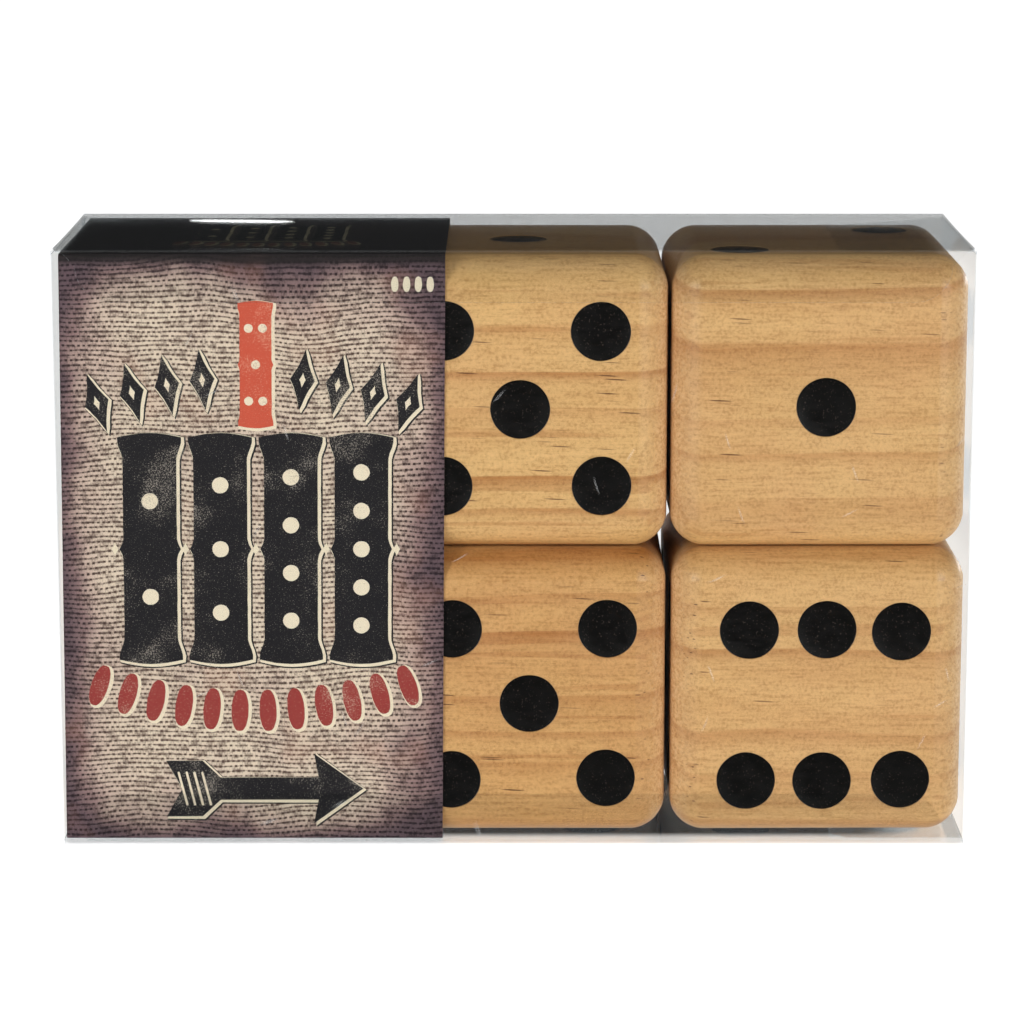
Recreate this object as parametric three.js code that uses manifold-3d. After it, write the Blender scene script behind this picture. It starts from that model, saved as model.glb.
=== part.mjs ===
// Giant yard dice in their retail pack: five wooden dice and a folded burlap bag, partly wrapped in
// a printed card sleeve, inside a clear folding box made of one scored plastic sheet.
//
// Millimetres, +Z up, +X along the pack's width, and -Y is the front. The origin is the middle of
// the base, on the surface that the pack stands on. Folded panels that would touch in the real pack
// keep a small gap here, because each panel is a solid of its own.
import * as THREE from "three";
import { RoundedBoxGeometry } from "three/addons/geometries/RoundedBoxGeometry.js";
import { mergeVertices } from "three/addons/utils/BufferGeometryUtils.js";
import Module from "manifold-3d";

// --- driving dimensions ---

const GAP = 0.3; // between neighbouring solids
const FILM = 0.3; // clear plastic sheet
const CARD = 0.4; // printed board

const DIE = 88.9; // cube side, 3.5 inches
const DIE_EDGE_RADIUS = 12;
const DIE_EDGE_STEPS = 4;
const PIP_RADIUS = 8.6;
const PIP_DEPTH = 0.5;
const PIP_PITCH = 23.5; // from the middle of a face to its outer pips
const PIP_SIDES = 14;

const BOX_WIDTH = 274.8;
const BOX_HEIGHT = 182.3;
const TUCK_GAP = 0.6; // behind the front wall, where the tongue swings as the lid lifts

const TONGUE_LENGTH = 15;
const TONGUE_INSET = 7; // the tongue is this much shorter than the lid at each end
const TONGUE_CORNER_RADIUS = 11;
const LID_CORNER_CUT = 1.5;

const DUST_FLAP_LENGTH = 40;
const DUST_FLAP_HINGE_SETBACK = 3; // clear of the lid's crease
const DUST_FLAP_TAPER = 0.6; // rear edge runs away from the lid's crease, so the lid can lift first
const DUST_FLAP_FRONT_SETBACK = 4.5;

const SEAM_WIDTH = 12; // glue seam that closes the tube of walls
const LAP_WIDTH = 7.4; // glue lap that closes the card sleeve

const SLEEVE_LEFT = -135.9; // the card sleeve's two open ends
const SLEEVE_RIGHT = -21;

// Middle of each die along the width: the dice are loose, so the gaps between them differ.
const TOP_RIGHT_X = 91.75;
const TOP_MIDDLE_X = 1.65;
const BOTTOM_RIGHT_X = 92.35;
const BOTTOM_MIDDLE_X = 1.65;
const BOTTOM_LEFT_X = -88.75;

const BAG_SIZE = new THREE.Vector3(84, 84, 66); // folded burlap bag
const BAG_X = -89;
const BAG_EDGE_RADIUS = 9;

// --- places worked out from them ---

// Layers from the front of the pack to its back.
const tongueFront = FILM + TUCK_GAP;
const sleeveFront = tongueFront + FILM + GAP;
const dieFront = sleeveFront + CARD + GAP;
const sleeveBackInner = dieFront + DIE + GAP;
const BOX_DEPTH = sleeveBackInner + CARD + GAP + FILM;

const LEFT = -BOX_WIDTH / 2;
const RIGHT = BOX_WIDTH / 2;
const FRONT = -BOX_DEPTH / 2;
const BACK = BOX_DEPTH / 2;
const DIE_Y = FRONT + dieFront + DIE / 2;

// Layers from the base upwards, and from the lid downwards.
const flapLayer = FILM + GAP;
const sleeveLayer = flapLayer + FILM + GAP;
const dieLayer = sleeveLayer + CARD + GAP;
const LOWER_DIE_Z = dieLayer + DIE / 2;
const UPPER_DIE_Z = LOWER_DIE_Z + DIE + GAP;
const BAG_BOTTOM = dieLayer + DIE + 2 * GAP;

const COLOURS = { film: 0xe4eaec, card: 0x6d5a56, cardInside: 0xb9b2a6, wood: 0xd7b37c, burlap: 0xb59a6c };

// --- helpers ---

const wasm = await Module();
wasm.setup();

const pack = new THREE.Group();

function filmMaterial() {
  return new THREE.MeshStandardMaterial({
    color: COLOURS.film,
    roughness: 0.06,
    metalness: 0,
    transparent: true,
    opacity: 0.25,
  });
}

function plainMaterial(color, roughness) {
  return new THREE.MeshStandardMaterial({ color, roughness, metalness: 0 });
}

function addMesh(name, geometry, material) {
  const mesh = new THREE.Mesh(geometry, material);
  mesh.name = name;
  pack.add(mesh);
  return mesh;
}

// A flat panel between two opposite corners.
function addPanel(name, low, high, material) {
  const size = new THREE.Vector3().subVectors(high, low);
  const mesh = addMesh(name, new THREE.BoxGeometry(size.x, size.y, size.z), material);
  mesh.position.addVectors(low, high).multiplyScalar(0.5);
  return mesh;
}

function corner(x, y, z) {
  return new THREE.Vector3(x, y, z);
}

// A piece cut from flat sheet: its outline lies in XY and its thickness runs up from z = 0.
function cutSheet(outline) {
  return new THREE.ExtrudeGeometry(outline, { depth: FILM, bevelEnabled: false, curveSegments: 6 });
}

function solidFrom(geometry) {
  const bare = geometry.clone();
  bare.deleteAttribute("normal");
  bare.deleteAttribute("uv");
  const merged = mergeVertices(bare, 1e-3);
  return new wasm.Manifold(
    new wasm.Mesh({
      numProp: 3,
      vertProperties: merged.attributes.position.array,
      triVerts: new Uint32Array(merged.index.array),
    }),
  );
}

function geometryFrom(solid) {
  const mesh = solid.getMesh();
  const geometry = new THREE.BufferGeometry();
  geometry.setAttribute("position", new THREE.BufferAttribute(mesh.vertProperties, 3));
  geometry.setIndex(new THREE.BufferAttribute(mesh.triVerts, 1));
  geometry.computeVertexNormals();
  return geometry;
}

// --- the clear box: walls ---

function addWalls() {
  const sideFront = FRONT + FILM + GAP;
  const sideBack = BACK - FILM - GAP;
  const sideBottom = flapLayer + FILM + GAP;
  const sideTop = BOX_HEIGHT - sideBottom;
  const backBottom = FILM + GAP;
  addPanel("front_wall", corner(LEFT, FRONT, 0), corner(RIGHT, FRONT + FILM, BOX_HEIGHT), filmMaterial());
  addPanel(
    "back_wall",
    corner(LEFT, BACK - FILM, backBottom),
    corner(RIGHT, BACK, BOX_HEIGHT - backBottom),
    filmMaterial(),
  );
  addPanel("left_wall", corner(LEFT, sideFront, sideBottom), corner(LEFT + FILM, sideBack, sideTop), filmMaterial());
  addPanel("right_wall", corner(RIGHT - FILM, sideFront, sideBottom), corner(RIGHT, sideBack, sideTop), filmMaterial());

  // The strip of the back wall that is folded forward and glued inside the left wall.
  const seamX = LEFT + FILM + GAP;
  addPanel(
    "glue_seam",
    corner(seamX, sideBack - SEAM_WIDTH, sideBottom),
    corner(seamX + FILM, sideBack, sideTop),
    filmMaterial(),
  );
}

// --- the clear box: closures at the top and the bottom ---

// A panel that closes one end. It is creased at the back, and its front corners are cut back.
function addEndPanel(name, bottom) {
  const panelFront = FRONT + tongueFront;
  const outline = new THREE.Shape();
  outline.moveTo(LEFT, BACK);
  outline.lineTo(LEFT, panelFront + LID_CORNER_CUT);
  outline.lineTo(LEFT + LID_CORNER_CUT, panelFront);
  outline.lineTo(RIGHT - LID_CORNER_CUT, panelFront);
  outline.lineTo(RIGHT, panelFront + LID_CORNER_CUT);
  outline.lineTo(RIGHT, BACK);
  addMesh(name, cutSheet(outline), filmMaterial()).position.z = bottom;
}

// The tongue that tucks in behind the front wall. It hangs down from the lid, or stands up from the
// bottom panel, with its free corners rounded.
function addTongue(name, creaseZ, direction) {
  const halfWidth = BOX_WIDTH / 2 - TONGUE_INSET;
  const radius = TONGUE_CORNER_RADIUS;
  const outline = new THREE.Shape();
  outline.moveTo(-halfWidth, 0);
  outline.lineTo(halfWidth, 0);
  outline.lineTo(halfWidth, TONGUE_LENGTH - radius);
  outline.absarc(halfWidth - radius, TONGUE_LENGTH - radius, radius, 0, Math.PI / 2);
  outline.absarc(radius - halfWidth, TONGUE_LENGTH - radius, radius, Math.PI / 2, Math.PI);
  const mesh = addMesh(name, cutSheet(outline), filmMaterial());
  mesh.rotation.x = (direction * Math.PI) / 2;
  const thicknessOffset = direction > 0 ? FILM : 0;
  mesh.position.set(0, FRONT + tongueFront + thicknessOffset, creaseZ);
}

// A flap folded in from the top or the bottom of a side wall. side is -1 on the left, 1 on the right.
function addDustFlap(name, side, bottom) {
  const crease = (side * BOX_WIDTH) / 2;
  const tip = crease - side * DUST_FLAP_LENGTH;
  const rear = BACK - DUST_FLAP_HINGE_SETBACK;
  const front = FRONT + DUST_FLAP_FRONT_SETBACK;
  const outline = new THREE.Shape();
  outline.moveTo(crease, rear);
  outline.lineTo(tip, rear - DUST_FLAP_TAPER * DUST_FLAP_LENGTH);
  outline.lineTo(tip, front + DUST_FLAP_FRONT_SETBACK);
  outline.lineTo(tip + side * DUST_FLAP_FRONT_SETBACK, front);
  outline.lineTo(crease, front);
  addMesh(name, cutSheet(outline), filmMaterial()).position.z = bottom;
}

function addClosures() {
  addEndPanel("lid", BOX_HEIGHT - FILM);
  addTongue("tuck_tongue", BOX_HEIGHT - FILM - GAP, -1);
  addDustFlap("left_dust_flap", -1, BOX_HEIGHT - flapLayer - FILM);
  addDustFlap("right_dust_flap", 1, BOX_HEIGHT - flapLayer - FILM);

  addEndPanel("bottom_panel", 0);
  addTongue("bottom_tongue", FILM + GAP, 1);
  addDustFlap("bottom_left_flap", -1, flapLayer);
  addDustFlap("bottom_right_flap", 1, flapLayer);
}

// --- the printed card sleeve ---

function addSleeve() {
  const front = FRONT + sleeveFront;
  const back = FRONT + sleeveBackInner + CARD;
  const bottom = sleeveLayer;
  const top = BOX_HEIGHT - sleeveLayer;
  const innerBottom = bottom + CARD + GAP;
  const innerTop = top - CARD - GAP;
  const printed = () => plainMaterial(COLOURS.card, 0.45);
  addPanel("card_front", corner(SLEEVE_LEFT, front, bottom), corner(SLEEVE_RIGHT, front + CARD, innerTop), printed());
  addPanel("card_back", corner(SLEEVE_LEFT, back - CARD, innerBottom), corner(SLEEVE_RIGHT, back, top), printed());
  addPanel(
    "card_top",
    corner(SLEEVE_LEFT, front, top - CARD),
    corner(SLEEVE_RIGHT, back - CARD - GAP, top),
    printed(),
  );
  addPanel(
    "card_bottom",
    corner(SLEEVE_LEFT, front + CARD + GAP, bottom),
    corner(SLEEVE_RIGHT, back, bottom + CARD),
    printed(),
  );
  // Glued inside the band, in the corner that the dice's rounded edges leave free.
  const lapBack = back - CARD - GAP;
  addPanel(
    "card_glue_lap",
    corner(SLEEVE_LEFT, lapBack - LAP_WIDTH, innerBottom),
    corner(SLEEVE_RIGHT, lapBack, innerBottom + CARD),
    plainMaterial(COLOURS.cardInside, 0.8),
  );
}

// --- the dice ---

// Where the pips of each number lie on a face, in steps of the pip pitch.
const PIP_LAYOUTS = {
  1: [[0, 0]],
  2: [[-1, -1], [1, 1]],
  3: [[-1, -1], [0, 0], [1, 1]],
  4: [[-1, -1], [-1, 1], [1, -1], [1, 1]],
  5: [[-1, -1], [-1, 1], [0, 0], [1, -1], [1, 1]],
  6: [[-1, -1], [0, -1], [1, -1], [-1, 1], [0, 1], [1, 1]],
};

// A face's outward normal and its right-hand direction, seen from outside the die.
const FACES = {
  front: { out: corner(0, -1, 0), right: corner(1, 0, 0) },
  back: { out: corner(0, 1, 0), right: corner(-1, 0, 0) },
  right: { out: corner(1, 0, 0), right: corner(0, 1, 0) },
  left: { out: corner(-1, 0, 0), right: corner(0, -1, 0) },
  top: { out: corner(0, 0, 1), right: corner(1, 0, 0) },
  bottom: { out: corner(0, 0, -1), right: corner(1, 0, 0) },
};

// Opposite faces of a die add up to seven.
function faceNumbers(front, top, right) {
  return { front, top, right, back: 7 - front, bottom: 7 - top, left: 7 - right };
}

// A short cylinder that cuts one pip, standing on the face with its axis along the face's normal.
function pipCutter(face, across, upwards) {
  const length = 4 * PIP_DEPTH;
  const geometry = new THREE.CylinderGeometry(PIP_RADIUS, PIP_RADIUS, length, PIP_SIDES);
  geometry.rotateX(Math.PI / 2);
  const up = new THREE.Vector3().crossVectors(face.out, face.right);
  geometry.applyMatrix4(new THREE.Matrix4().makeBasis(face.right, up, face.out));
  const place = face.out.clone().multiplyScalar(DIE / 2 - PIP_DEPTH + length / 2);
  place.addScaledVector(face.right, across * PIP_PITCH);
  place.addScaledVector(up, upwards * PIP_PITCH);
  geometry.translate(place.x, place.y, place.z);
  return solidFrom(geometry);
}

function addDie(name, x, z, numbers) {
  let die = solidFrom(new RoundedBoxGeometry(DIE, DIE, DIE, DIE_EDGE_STEPS, DIE_EDGE_RADIUS));
  for (const [side, number] of Object.entries(numbers)) {
    for (const [across, upwards] of PIP_LAYOUTS[number]) {
      die = die.subtract(pipCutter(FACES[side], across, upwards));
    }
  }
  addMesh(name, geometryFrom(die), plainMaterial(COLOURS.wood, 0.55)).position.set(x, DIE_Y, z);
}

function addDice() {
  addDie("die_top_right", TOP_RIGHT_X, UPPER_DIE_Z, faceNumbers(1, 2, 4));
  addDie("die_top_middle", TOP_MIDDLE_X, UPPER_DIE_Z, faceNumbers(5, 1, 4));
  addDie("die_bottom_right", BOTTOM_RIGHT_X, LOWER_DIE_Z, faceNumbers(6, 3, 2));
  addDie("die_bottom_middle", BOTTOM_MIDDLE_X, LOWER_DIE_Z, faceNumbers(5, 4, 6));
  addDie("die_bottom_left", BOTTOM_LEFT_X, LOWER_DIE_Z, faceNumbers(3, 1, 5));
}

// --- the folded burlap bag ---

function addBag() {
  const geometry = new RoundedBoxGeometry(BAG_SIZE.x, BAG_SIZE.y, BAG_SIZE.z, 3, BAG_EDGE_RADIUS);
  const mesh = addMesh("burlap_bag", geometry, plainMaterial(COLOURS.burlap, 0.95));
  mesh.position.set(BAG_X, DIE_Y, BAG_BOTTOM + BAG_SIZE.z / 2);
}

addWalls();
addClosures();
addSleeve();
addDice();
addBag();

export default pack;
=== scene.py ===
"""Looks for a pack of giant yard dice: pine dice and a folded burlap bag, partly wrapped in a printed
card sleeve, inside a clear folding box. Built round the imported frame, in metres, +Z up, -Y the front.
"""
import math
import random

import bmesh
import bpy
from mathutils import Matrix, Vector, noise


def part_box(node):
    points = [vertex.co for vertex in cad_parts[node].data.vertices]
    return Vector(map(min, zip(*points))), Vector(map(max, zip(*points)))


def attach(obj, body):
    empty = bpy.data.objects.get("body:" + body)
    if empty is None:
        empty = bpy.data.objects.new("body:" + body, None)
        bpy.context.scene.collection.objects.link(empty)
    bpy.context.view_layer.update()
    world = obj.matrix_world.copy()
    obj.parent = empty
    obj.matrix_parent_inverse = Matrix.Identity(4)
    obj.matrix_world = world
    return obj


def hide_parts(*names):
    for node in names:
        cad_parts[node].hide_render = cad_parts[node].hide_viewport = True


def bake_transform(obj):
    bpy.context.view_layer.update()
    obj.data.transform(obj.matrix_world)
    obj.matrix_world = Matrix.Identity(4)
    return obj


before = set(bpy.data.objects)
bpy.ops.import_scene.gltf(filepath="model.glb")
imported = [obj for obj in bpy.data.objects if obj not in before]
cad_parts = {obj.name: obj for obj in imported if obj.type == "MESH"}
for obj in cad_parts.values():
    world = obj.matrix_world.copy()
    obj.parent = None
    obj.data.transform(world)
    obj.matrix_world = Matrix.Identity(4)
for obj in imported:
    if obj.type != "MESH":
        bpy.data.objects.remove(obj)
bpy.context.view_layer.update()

# --- sizes that the looks add to the frame, in metres ---

MM = 0.001

PIP_RADIUS = 8.9 * MM
PIP_DEPTH = 0.5 * MM
PIP_PITCH = 23.5 * MM  # from the middle of a face to its outer pips
PIP_SIDES = 72
PIP_JITTER = 0.5 * MM
PIP_UNROUND = 0.012  # share of the radius by which a pip's outline wanders
HIDDEN_PIP_DRIFT = 1.5 * MM  # how far the pips of a face that the photo doesn't show may lie off-centre
DIE_EDGE_RADIUS = 11 * MM
DIE_EDGE_BREAK = 7  # degrees at which the rounding leaves the flat face, as a router bit cuts it
DIE_EDGE_STEPS = 10  # per half of a rounded edge

FOLD_RADIUS = 0.8 * MM  # creases of the plastic sheet
CARD_FOLD_RADIUS = 0.9 * MM
FILM_SWAY = 0.18 * MM  # how far the walls of the clear box wave inwards
LID_SAG = 0.3 * MM
LID_CORNER_CUT = 1.5 * MM
TONGUE_CORNER_RADIUS = 11 * MM
SLEEVE_LEAN = 0.008  # the card sleeve sits a little askew: metres along X for each metre up
DECAL_LIFT = 0.02 * MM  # printed ornaments lie this far off the card
DECAL_THICKNESS = 0.02 * MM

WEAVE_ROW = 1.5 * MM  # the printed weave: pitch of its rows, and half the pitch of its dashes
WEAVE_COLUMN = 0.78 * MM

CAMERA_PLACE = Vector((-0.0005, -1.1631, 0.3273))
CAMERA_PITCH = 0.1978  # radians below the horizon
CAMERA_LENS = 133.4

WORLD_LOW = 0.015  # brightness of the studio round the object, at the horizon and overhead
WORLD_HIGH = 0.12
FLOOR_MIRRORED = 0.8  # brightness of the floor behind the object, as the film's gloss sees it

# Each softbox: its place, its width and height, and its power in watts.
SOFTBOXES = [
    ("key_left", (-1.5, -1.7, 0.5), (0.9, 1.1), 26),
    ("key_right", (1.5, -1.7, 0.5), (0.9, 1.1), 26),
    ("overhead", (0, -0.15, 1.6), (1.4, 0.8), 2),
    ("back_left", (-1.5, 1.7, 0.2), (0.9, 0.3), 9),
    ("back_right", (1.5, 1.7, 0.2), (0.9, 0.3), 9),
]
GLARE_PLACE = (-0.227, 2.0, 0.4545)  # a thin light, mirrored as the bright line along the lid's crease
GLARE_SIZE = (0.088, 0.003)
GLARE_POWER = 0.003

# --- places read from the frame ---

front_low, front_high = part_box("front_wall")
back_low, back_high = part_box("back_wall")
left_low, left_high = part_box("left_wall")
card_low, card_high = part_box("card_front")

FILM = front_high.y - front_low.y
CARD = card_high.y - card_low.y
BOX_LEFT, BOX_RIGHT = front_low.x, front_high.x
BOX_FRONT, BOX_BACK = front_low.y, back_high.y
BOX_TOP = front_high.z
GLARE_SPOT = (-0.08, 0.04, BOX_TOP)


# --- materials: small helpers ---

def srgb(red, green, blue):
    """A colour given as 0-255 display values, as linear red, green, blue and alpha."""
    def linear(value):
        value /= 255
        return value / 12.92 if value <= 0.04045 else ((value + 0.055) / 1.055) ** 2.4
    return (linear(red), linear(green), linear(blue), 1.0)


class Nodes:
    """Short ways to add nodes to a material or a world. Inputs are plain values or sockets."""

    def __init__(self, owner):
        self.owner = owner
        owner.use_nodes = True
        self.tree = owner.node_tree
        self.tree.nodes.clear()

    def add(self, kind, inputs, **settings):
        made = self.tree.nodes.new("ShaderNode" + kind)
        for key, value in settings.items():
            setattr(made, key, value)
        for key, value in inputs.items():
            if isinstance(value, bpy.types.NodeSocket):
                self.tree.links.new(value, made.inputs[key])
            else:
                made.inputs[key].default_value = value
        return made

    def math(self, operation, a, b=0.0, clamp=False):
        return self.add("Math", {0: a, 1: b}, operation=operation, use_clamp=clamp).outputs[0]

    def plus(self, a, b):
        return self.math("ADD", a, b)

    def minus(self, a, b):
        return self.math("SUBTRACT", a, b)

    def times(self, a, b):
        return self.math("MULTIPLY", a, b)

    def over(self, a, b):
        return self.math("DIVIDE", a, b)

    def above(self, a, b):
        """1 where a is above b, and 0 elsewhere."""
        return self.math("GREATER_THAN", a, b)

    def absolute(self, a):
        return self.math("ABSOLUTE", a)

    def floor(self, a):
        return self.math("FLOOR", a)

    def hump(self, a):
        """Rises from 0 to 1 and falls again between each whole number and the next."""
        return self.math("SINE", self.times(self.math("FRACT", a), math.pi))

    def checker(self, a, b):
        """0 and 1 by turns, like a chequered board, over the whole numbers of a and b."""
        return self.absolute(self.math("MODULO", self.plus(self.floor(a), self.floor(b)), 2.0))

    def either(self, choice, a, b):
        """The number a where choice is 0, and b where it is 1."""
        return self.add("Mix", {0: choice, 2: a, 3: b}, data_type="FLOAT").outputs[0]

    def vector(self, operation, a, b=(0, 0, 0)):
        return self.add("VectorMath", {0: a, 1: b}, operation=operation).outputs[0]

    def length(self, a):
        return self.add("VectorMath", {0: a}, operation="LENGTH").outputs["Value"]

    def place(self):
        return self.add("TexCoord", {}).outputs["Object"]

    def split(self, vector):
        return self.add("SeparateXYZ", {0: vector}).outputs

    def join(self, x, y, z=0.0):
        return self.add("CombineXYZ", {0: x, 1: y, 2: z}).outputs[0]

    def normal(self):
        return self.split(self.add("NewGeometry", {}).outputs["Normal"])

    def noise(self, vector, scale, detail=3.0, roughness=0.5):
        """Noise whose scale is one number, or one for each of X, Y and Z."""
        if isinstance(scale, tuple):
            vector, scale = self.vector("MULTIPLY", vector, scale), 1.0
        inputs = {"Vector": vector, "Scale": scale, "Detail": detail, "Roughness": roughness}
        return self.add("TexNoise", inputs).outputs[0]

    def smooth(self, value, low, high, to_low=0.0, to_high=1.0):
        """Runs smoothly from to_low to to_high as value goes from low to high."""
        inputs = {"Value": value, "From Min": low, "From Max": high, "To Min": to_low, "To Max": to_high}
        return self.add("MapRange", inputs, interpolation_type="SMOOTHSTEP").outputs[0]

    def blend(self, factor, a, b, mode="MIX"):
        made = self.add("Mix", {0: factor, 6: a, 7: b}, data_type="RGBA", blend_type=mode)
        return made.outputs[2]

    def shade(self, value, colours):
        """A colour ramp of (position, colour) steps."""
        made = self.add("ValToRGB", {"Fac": value})
        ramp = made.color_ramp
        while len(ramp.elements) < len(colours):
            ramp.elements.new(0.5)
        for element, (position, colour) in zip(ramp.elements, colours):
            element.position = position
            element.color = colour
        return made.outputs[0]

    def bump(self, height, strength, distance):
        inputs = {"Height": height, "Strength": strength, "Distance": distance}
        return self.add("Bump", inputs).outputs[0]

    def principled(self, **inputs):
        named = {key.replace("_", " "): value for key, value in inputs.items()}
        return self.add("BsdfPrincipled", named).outputs[0]

    def mixed(self, share, a, b):
        """The shader a where share is 0, and b where it is 1."""
        return self.add("MixShader", {0: share, 1: a, 2: b}).outputs[0]

    def finish(self, shader):
        self.add("OutputMaterial", {"Surface": shader})
        return self.owner

    def finish_principled(self, **inputs):
        return self.finish(self.principled(**inputs))


def new_material(name):
    return Nodes(bpy.data.materials.new(name))


# --- materials ---

def pine(name, ring_centre, ring_pitch, figure, tint, seed):
    """Sanded and lacquered pine with the grain along X. ring_centre is the heart of the tree in Y and Z,
    from the middle of the die, so the rings, bands and end grain agree on all six faces. figure is how
    strongly the rings show."""
    s = new_material(name)
    place = s.place()
    moved = s.vector("ADD", place, (seed * 1.7, seed * 0.9, seed * 2.3))
    sway = s.noise(moved, (7, 20, 20), 1.0)
    ripple = s.noise(moved, (26, 150, 150), 2.0)
    across = s.vector("MULTIPLY", s.vector("ADD", place, (0, -ring_centre[0], -ring_centre[1])), (0, 1, 1))
    radius = s.length(across)
    radius = s.plus(radius, s.times(s.minus(sway, 0.5), 0.7 * ring_pitch))
    radius = s.plus(radius, s.times(s.minus(ripple, 0.5), 0.06 * ring_pitch))
    # Years differ, so the rings are unevenly wide.
    years = s.add("TexNoise", {"W": s.times(radius, 30), "Scale": 1.0, "Detail": 0.0},
                  noise_dimensions="1D").outputs[0]
    rings = s.plus(s.over(radius, ring_pitch), s.times(years, 1.5))
    phase = s.math("FRACT", rings)
    late = s.shade(phase, [(0.0, (0.6, 0.6, 0.6, 1)), (0.04, (0.05, 0.05, 0.05, 1)),
                           (0.5, (0.0, 0.0, 0.0, 1)), (0.75, (0.3, 0.3, 0.3, 1)),
                           (0.94, (1, 1, 1, 1)), (1.0, (0.8, 0.8, 0.8, 1))])
    ring_index = s.add("TexWhiteNoise", {"W": s.plus(s.floor(rings), seed)},
                       noise_dimensions="1D").outputs[0]
    late = s.times(late, s.smooth(ring_index, 0.0, 1.0, 0.35 * figure, figure))

    fibre = s.noise(moved, (90, 1100, 1100), 3.0, 0.6)
    lines = s.noise(moved, (7, 240, 240), 2.0)
    speckle = s.noise(moved, 1050, 2.0, 0.7)
    mottle = s.noise(moved, (260, 420, 420), 2.0, 0.6)
    streak = s.noise(moved, (12, 110, 110), 3.0)
    cloud = s.noise(moved, 24, 2.0)

    light, middle, dark = srgb(222, 179, 119), srgb(206, 158, 98), srgb(180, 120, 62)
    colour = s.blend(s.times(late, 0.85), light, dark)
    colour = s.blend(s.smooth(streak, 0.35, 0.7, 0, 0.5), colour, middle)
    colour = s.blend(s.smooth(lines, 0.60, 0.66, 0, 0.35 * figure), colour, dark)
    colour = s.blend(s.smooth(cloud, 0.4, 0.65, 0, 0.3), colour, srgb(212, 160, 108))
    grain = s.plus(s.times(fibre, 0.4), s.times(speckle, 0.5))
    grain = s.plus(grain, s.times(mottle, 0.1))
    grain_tint = s.shade(grain, [(0.38, (0.76, 0.70, 0.62, 1)), (0.5, (0.98, 0.98, 0.97, 1)),
                                 (0.62, (1.08, 1.09, 1.12, 1))])
    colour = s.blend(1.0, colour, grain_tint, "MULTIPLY")
    colour = s.blend(1.0, colour, tint, "MULTIPLY")

    # End grain, where the surface turns towards the ends of the fibres.
    ends = s.smooth(s.absolute(s.normal()[0]), 0.35, 0.95)
    pores = s.noise(moved, (500, 1000, 1000), 3.0, 0.75)
    end_tint = s.shade(pores, [(0.34, srgb(182, 132, 84)), (0.47, srgb(222, 180, 130)),
                               (0.6, srgb(240, 206, 160))])
    end_colour = s.blend(s.times(late, 0.5), end_tint, srgb(176, 116, 70))
    colour = s.blend(s.times(ends, 0.75), colour, end_colour)

    # Resin canals: short dark dashes along the grain.
    along, depth, height = s.split(moved)
    slanted = s.join(along, depth, s.plus(height, s.times(along, 0.05)))
    cells = s.vector("MULTIPLY", slanted, (48, 800, 800))
    dashes = s.add("TexVoronoi", {"Vector": cells, "Scale": 1.0, "Randomness": 1.0}, feature="F1")
    near = s.smooth(dashes.outputs["Distance"], 0.10, 0.22, 1.0, 0.0)
    chosen = s.above(s.split(dashes.outputs["Color"])[0], 0.62)
    patch = s.smooth(s.noise(moved, 34, 1.0), 0.42, 0.6, 0.15, 1.0)
    dash = s.times(s.times(near, chosen), patch)
    dash = s.times(dash, s.minus(1.0, ends))
    colour = s.blend(s.times(dash, 0.9), colour, srgb(100, 58, 30))

    rough = s.smooth(speckle, 0.3, 0.7, 0.38, 0.55)
    relief = s.plus(s.times(late, 0.15), s.times(fibre, 0.5))
    relief = s.minus(relief, s.times(dash, 0.8))
    normal = s.bump(relief, 0.3, 0.0001)
    return s.finish_principled(Base_Color=colour, Roughness=rough, Normal=normal,
                               Specular_IOR_Level=0.45, Coat_Weight=0.18, Coat_Roughness=0.28)


def pip_paint():
    """Black satin paint with brush texture and a little dust."""
    s = new_material("pip_paint")
    place = s.place()
    dust = s.noise(place, 1900, 1.0)
    brushed = s.noise(place, (260, 900, 900), 3.0)
    colour = s.blend(s.smooth(dust, 0.66, 0.74, 0, 0.5), srgb(9, 8, 7), srgb(92, 80, 70))
    colour = s.blend(s.smooth(brushed, 0.4, 0.8, 0, 0.35), colour, srgb(24, 20, 18))
    rough = s.smooth(brushed, 0.3, 0.7, 0.34, 0.5)
    return s.finish_principled(Base_Color=colour, Roughness=rough, Specular_IOR_Level=0.25,
                               Normal=s.bump(brushed, 0.3, 0.0001))


def clear_film(name, waviness, gloss=1.0, roughness=0.04):
    """Clear plastic sheet. A real sheet bends no light that anyone sees, so it is see-through with a
    mirror-like gloss that grows towards grazing angles, at both of its surfaces."""
    s = new_material(name)
    place = s.place()
    waves = s.noise(place, 16, 2.0)
    marks = s.noise(place, 420, 2.0, 0.6)
    height = s.plus(waves, s.times(marks, 0.006))
    normal = s.bump(height, waviness, 0.004)
    outside = s.add("Fresnel", {"IOR": 1.57, "Normal": normal}).outputs[0]
    inside = s.add("Fresnel", {"IOR": 0.637, "Normal": normal}).outputs[0]
    backfacing = s.add("NewGeometry", {}).outputs["Backfacing"]
    share = s.times(s.either(backfacing, outside, inside), gloss)
    shine = {"Color": (1, 1, 1, 1), "Roughness": roughness, "Normal": normal}
    mirror = s.add("BsdfAnisotropic", shine).outputs[0]
    through = s.add("BsdfTransparent", {"Color": (0.985, 0.99, 0.99, 1)}).outputs[0]
    clear = s.mixed(share, through, mirror)
    white = s.add("BsdfDiffuse", {"Color": (0.95, 0.95, 0.95, 1)}).outputs[0]
    return s.finish(s.mixed(film_scratches(s, place), clear, white))


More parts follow.
